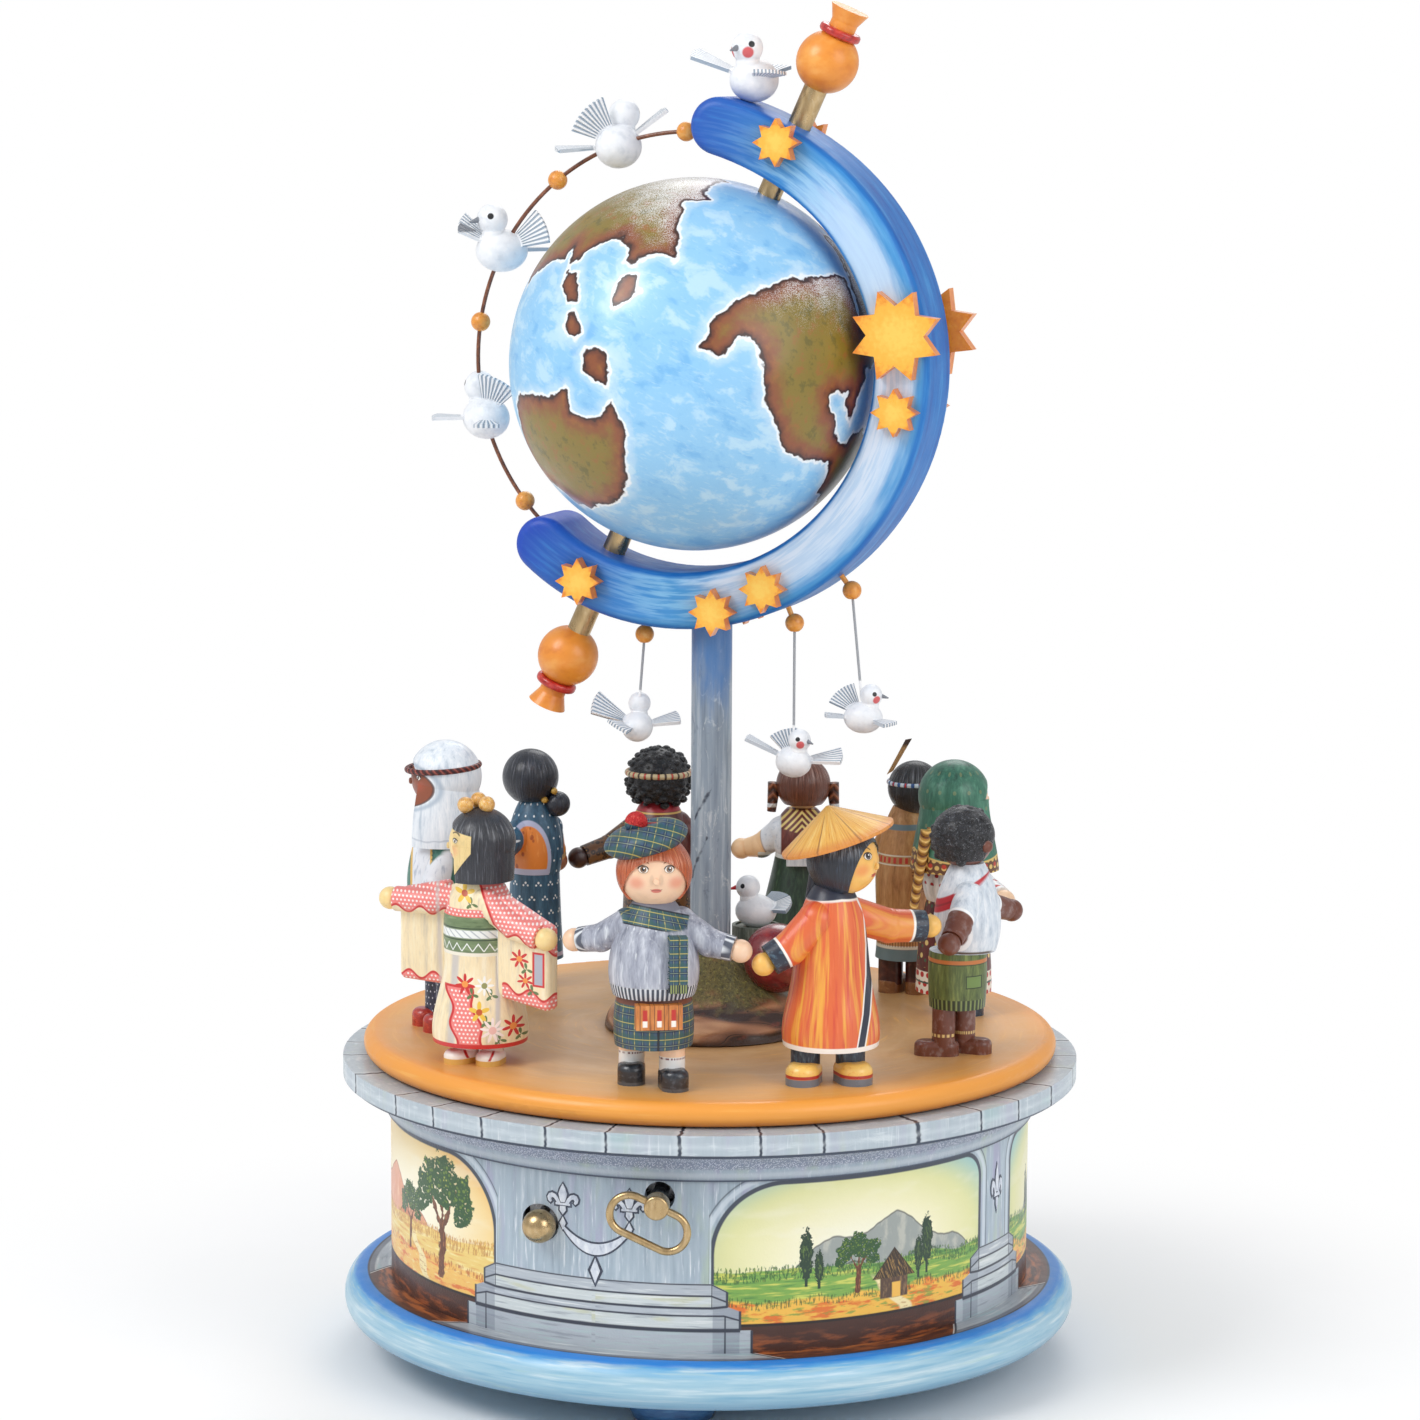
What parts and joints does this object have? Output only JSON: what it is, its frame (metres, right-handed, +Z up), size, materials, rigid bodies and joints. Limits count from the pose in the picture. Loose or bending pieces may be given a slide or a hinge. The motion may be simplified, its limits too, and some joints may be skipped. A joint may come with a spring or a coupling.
{
  "type": "music box",
  "caption": "Wind-up wooden music box: dolls hand in hand on a turntable ring a column that bears a tilted globe in a starry bow, with doves on wires, a winding key and a stop knob.",
  "frame": {"origin": "centre of the base on the surface that the feet stand on, on the axis of column and turntable", "axes": "+Z up along the column, -Y toward the front between key and knob, +X to the right; the bow stands in the XZ plane"},
  "size_m": [0.2508, 0.2508, 0.4588],
  "materials": {
    "axis_tube": "aged",
    "barefoot_boy_body": "satin paint",
    "barefoot_boy_head": "satin paint",
    "base_disc": "satin paint",
    "bedplate_screws": "machined",
    "bow_stars": "gloss paint",
    "braids_girl_body": "satin paint",
    "braids_girl_head": "satin paint",
    "bun_girl_body": "satin paint",
    "bun_girl_head": "satin paint",
    "centre_post": "bare wood",
    "column": "satin paint",
    "cornice_ring": "satin paint",
    "curly_child_body": "satin paint",
    "curly_child_head": "satin paint",
    "cylinder_arbor": "cut and turned",
    "dove_left": "satin paint",
    "dove_middle": "satin paint",
    "dove_right": "satin paint",
    "dove_wire": "copper paint",
    "drum_wall": "satin paint",
    "feather_child_body": "satin paint",
    "feather_child_head": "satin paint",
    "feet": "satin paint",
    "finial_collars": "gloss paint",
    "finials": "gloss paint",
    "friction_wheel": "moulded",
    "globe_lower_half": "satin paint",
    "globe_upper_half": "satin paint",
    "governor_rotor": "cut and turned",
    "hanger_beads": "gloss paint",
    "headcloth_child_body": "satin paint",
    "headcloth_child_head": "satin paint",
    "headscarf_girl_body": "satin paint",
    "headscarf_girl_head": "satin paint",
    "kilt_boy_body": "satin paint",
    "kilt_boy_head": "satin paint",
    "kimono_girl_body": "satin paint",
    "kimono_girl_head": "satin paint",
    "meridian_bow": "gloss paint",
    "mound": "satin paint",
    "mound_dove": "satin paint",
    "movement_bedplate": "cast",
    "movement_block": "bare wood",
    "perched_doves": "satin paint",
    "red_ball": "gloss paint",
    "spring_barrel": "turned",
    "steel_comb": "ground",
    "stop_knob": "aged",
    "stop_rod": "drawn",
    "straw_hat_boy_body": "satin paint",
    "straw_hat_boy_head": "satin paint",
    "thrust_washer": "moulded",
    "tone_cylinder": "turned",
    "tree_stump": "satin paint",
    "turntable_bush": "turned",
    "turntable_disc": "satin paint",
    "winding_arbor": "turned",
    "winding_key": "aged",
    "wire_beads": "gloss paint"
  },
  "bodies": {
    "base": {"feet": "feet", "base_disc": "base_disc", "drum_wall": "drum_wall", "cornice_ring": "cornice_ring", "centre_post": "centre_post", "thrust_washer": "thrust_washer", "movement_block": "movement_block", "movement_bedplate": "movement_bedplate", "bedplate_screws": "bedplate_screws", "steel_comb": "steel_comb", "column": "column", "mound": "mound", "red_ball": "red_ball", "tree_stump": "tree_stump", "mound_dove": "mound_dove", "meridian_bow": "meridian_bow", "bow_stars": "bow_stars", "axis_tube": "axis_tube", "finials": "finials", "finial_collars": "finial_collars", "dove_wire": "dove_wire", "wire_beads": "wire_beads", "hanger_beads": "hanger_beads", "perched_doves": "perched_doves"},
    "turntable": {"turntable_disc": "turntable_disc", "turntable_bush": "turntable_bush", "kilt_boy_head": "kilt_boy_head", "kilt_boy_body": "kilt_boy_body", "straw_hat_boy_head": "straw_hat_boy_head", "straw_hat_boy_body": "straw_hat_boy_body", "barefoot_boy_head": "barefoot_boy_head", "barefoot_boy_body": "barefoot_boy_body", "headscarf_girl_head": "headscarf_girl_head", "headscarf_girl_body": "headscarf_girl_body", "feather_child_head": "feather_child_head", "feather_child_body": "feather_child_body", "braids_girl_head": "braids_girl_head", "braids_girl_body": "braids_girl_body", "curly_child_head": "curly_child_head", "curly_child_body": "curly_child_body", "bun_girl_head": "bun_girl_head", "bun_girl_body": "bun_girl_body", "headcloth_child_head": "headcloth_child_head", "headcloth_child_body": "headcloth_child_body", "kimono_girl_head": "kimono_girl_head", "kimono_girl_body": "kimono_girl_body"},
    "cylinder": {"tone_cylinder": "tone_cylinder", "cylinder_arbor": "cylinder_arbor", "friction_wheel": "friction_wheel"},
    "barrel": {"spring_barrel": "spring_barrel"},
    "governor": {"governor_rotor": "governor_rotor"},
    "key": {"winding_arbor": "winding_arbor", "winding_key": "winding_key"},
    "stop": {"stop_knob": "stop_knob", "stop_rod": "stop_rod"},
    "globe": {"globe_upper_half": "globe_upper_half", "globe_lower_half": "globe_lower_half"},
    "dove_left": {"dove_left": "dove_left"},
    "dove_middle": {"dove_middle": "dove_middle"},
    "dove_right": {"dove_right": "dove_right"}
  },
  "joints": [
    {"name": "turntable_spin", "type": "hinge", "parent": "base", "child": "turntable", "pos_m": [0, 0, 0.112], "axis": [0, 0, 1], "continuous": true},
    {"name": "cylinder_spin", "type": "hinge", "parent": "base", "child": "cylinder", "pos_m": [0.01709, -0.0596, 0.0929], "axis": [0.2756, -0.9613, 0], "continuous": true},
    {"name": "barrel_spin", "type": "hinge", "parent": "base", "child": "barrel", "pos_m": [0.01249, -0.07694, 0.0795], "axis": [0.2756, -0.9613, 0], "continuous": true},
    {"name": "governor_spin", "type": "hinge", "parent": "base", "child": "governor", "pos_m": [0.00633, -0.06331, 0.08807], "axis": [0.2756, -0.9613, 0], "continuous": true},
    {"name": "key_wind", "type": "hinge", "parent": "base", "child": "key", "pos_m": [0.02547, -0.12221, 0.0795], "axis": [-0.2756, 0.9613, 0], "range_deg": [0, 1080]},
    {"name": "stop_slide", "type": "slide", "parent": "base", "child": "stop", "axis": [0.2756, -0.9613, 0], "range_m": [0, 0.004]},
    {"name": "globe_spin", "type": "hinge", "parent": "base", "child": "globe", "pos_m": [-0.0065, 0, 0.338], "axis": [0.4131, 0, 0.9107], "continuous": true},
    {"name": "dove_left_swing", "type": "hinge", "parent": "base", "child": "dove_left", "pos_m": [-0.02431, 0, 0.24583], "axis": [1, 0, 0], "range_deg": [-15, 15]},
    {"name": "dove_middle_swing", "type": "hinge", "parent": "base", "child": "dove_middle", "pos_m": [0.02944, 0, 0.25219], "axis": [1, 0, 0], "range_deg": [-15, 15]},
    {"name": "dove_right_swing", "type": "hinge", "parent": "base", "child": "dove_right", "pos_m": [0.04955, 0, 0.2641], "axis": [1, 0, 0], "range_deg": [-15, 15]}
  ],
  "couplings": [
    {"joint": "cylinder_spin", "follows": "turntable_spin", "ratio": -4.5351},
    {"joint": "barrel_spin", "follows": "turntable_spin", "ratio": 1.2791},
    {"joint": "governor_spin", "follows": "turntable_spin", "ratio": 12.698}
  ]
}
